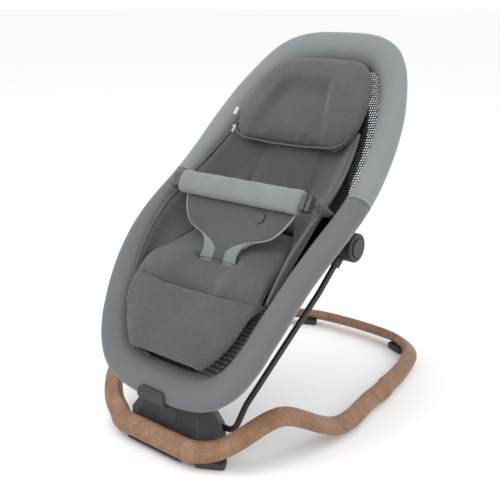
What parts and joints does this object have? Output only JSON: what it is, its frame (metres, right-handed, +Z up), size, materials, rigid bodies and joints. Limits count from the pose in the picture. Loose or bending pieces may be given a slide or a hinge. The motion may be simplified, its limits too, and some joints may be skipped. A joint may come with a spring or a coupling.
{
  "type": "baby bouncer seat",
  "caption": "Baby bouncer: oval padded seat with waist harness on two sprung wire legs, standing on a bent-wood floor hoop.",
  "frame": {"origin": "on the floor, under the middle of the outline", "axes": "+Z up, +X to the sitter's left, +Y towards the head end"},
  "size_m": [0.4236, 0.5947, 0.5977],
  "materials": {
    "wood": "satin varnished beech",
    "dowel_wood": "raw",
    "black_steel": "semi-gloss powder coat",
    "zinc_steel": "zinc plated",
    "dark_plastic": "fine moulded texture",
    "button_plastic": "satin",
    "rubber": "matte",
    "pale_cover_fabric": "knit",
    "grey_cover_fabric": "knit",
    "insert_fabric": "melange jersey",
    "sling_fabric": "mesh",
    "harness_fabric": "knit",
    "webbing": "woven webbing",
    "tag_fabric": "satin ribbon"
  },
  "bodies": {
    "base": {"base_front_hoop": "wood", "base_rear_hoop": "wood", "hoop_dowel_right": "dowel_wood", "hoop_dowel_left": "dowel_wood", "foot_front_right": "rubber", "foot_front_left": "rubber", "foot_rear_right": "rubber", "foot_rear_left": "rubber", "wood_screws": "zinc_steel", "pod_cover": "dark_plastic", "pod_floor": "dark_plastic", "pod_screws": "zinc_steel", "leg_bush_right": "dark_plastic", "leg_bush_left": "dark_plastic"},
    "bounce_lock": {"bounce_lock_button": "button_plastic"},
    "bounce_frame": {"leg_wire_right": "black_steel", "leg_wire_left": "black_steel", "leg_coupler": "zinc_steel", "hub_inner_right": "dark_plastic", "hub_inner_left": "dark_plastic"},
    "seat": {"seat_tube_upper": "zinc_steel", "seat_tube_lower": "zinc_steel", "ring_cover_upper": "pale_cover_fabric", "ring_cover_lower": "grey_cover_fabric", "hub_outer_right": "dark_plastic", "hub_outer_left": "dark_plastic", "hub_screws": "zinc_steel", "seat_sling": "sling_fabric", "seat_pad": "insert_fabric", "foot_flap": "insert_fabric", "back_pad": "insert_fabric", "headrest_pillow": "insert_fabric", "side_bolster_right": "insert_fabric", "side_bolster_left": "insert_fabric", "crotch_strap": "harness_fabric", "side_strap_right": "webbing", "side_strap_left": "webbing", "strap_buckle_right": "dark_plastic", "strap_buckle_left": "dark_plastic", "foot_clip": "dark_plastic", "sewn_tags": "tag_fabric"},
    "recline_button_right": {"recline_button_right": "button_plastic", "lock_gear_right": "dark_plastic", "button_spring_right": "zinc_steel"},
    "recline_button_left": {"recline_button_left": "button_plastic", "lock_gear_left": "dark_plastic", "button_spring_left": "zinc_steel"},
    "harness": {"waist_tube": "harness_fabric", "harness_panel": "harness_fabric", "badge_button": "button_plastic", "buckle_tongue_right": "dark_plastic", "buckle_tongue_left": "dark_plastic"}
  },
  "joints": [
    {"name": "bounce_lock_press", "type": "slide", "parent": "base", "child": "bounce_lock", "axis": [0, 0.9363, -0.3511], "range_m": [0, 0.003], "stiffness_N_per_m": 600, "springref_m": -0.001},
    {"name": "bounce", "type": "hinge", "parent": "base", "child": "bounce_frame", "pos_m": [0, -0.21205, 0.033], "axis": [1, 0, 0], "range_deg": [-5, 5], "stiffness_Nm_per_rad": 120, "springref_deg": 5.73},
    {"name": "recline", "type": "hinge", "parent": "bounce_frame", "child": "seat", "pos_m": [0, -0.02605, 0.293], "axis": [1, 0, 0], "range_deg": [-20, 0]},
    {"name": "recline_button_right_press", "type": "slide", "parent": "seat", "child": "recline_button_right", "axis": [-1, 0, 0], "range_m": [0, 0.005], "stiffness_N_per_m": 900, "springref_m": -0.001},
    {"name": "recline_button_left_press", "type": "slide", "parent": "seat", "child": "recline_button_left", "axis": [1, 0, 0], "range_m": [0, 0.005], "stiffness_N_per_m": 900, "springref_m": -0.001},
    {"name": "harness_fold", "type": "hinge", "parent": "seat", "child": "harness", "pos_m": [0, -0.14705, 0.25], "axis": [1, 0, 0], "range_deg": [0, 95]}
  ]
}
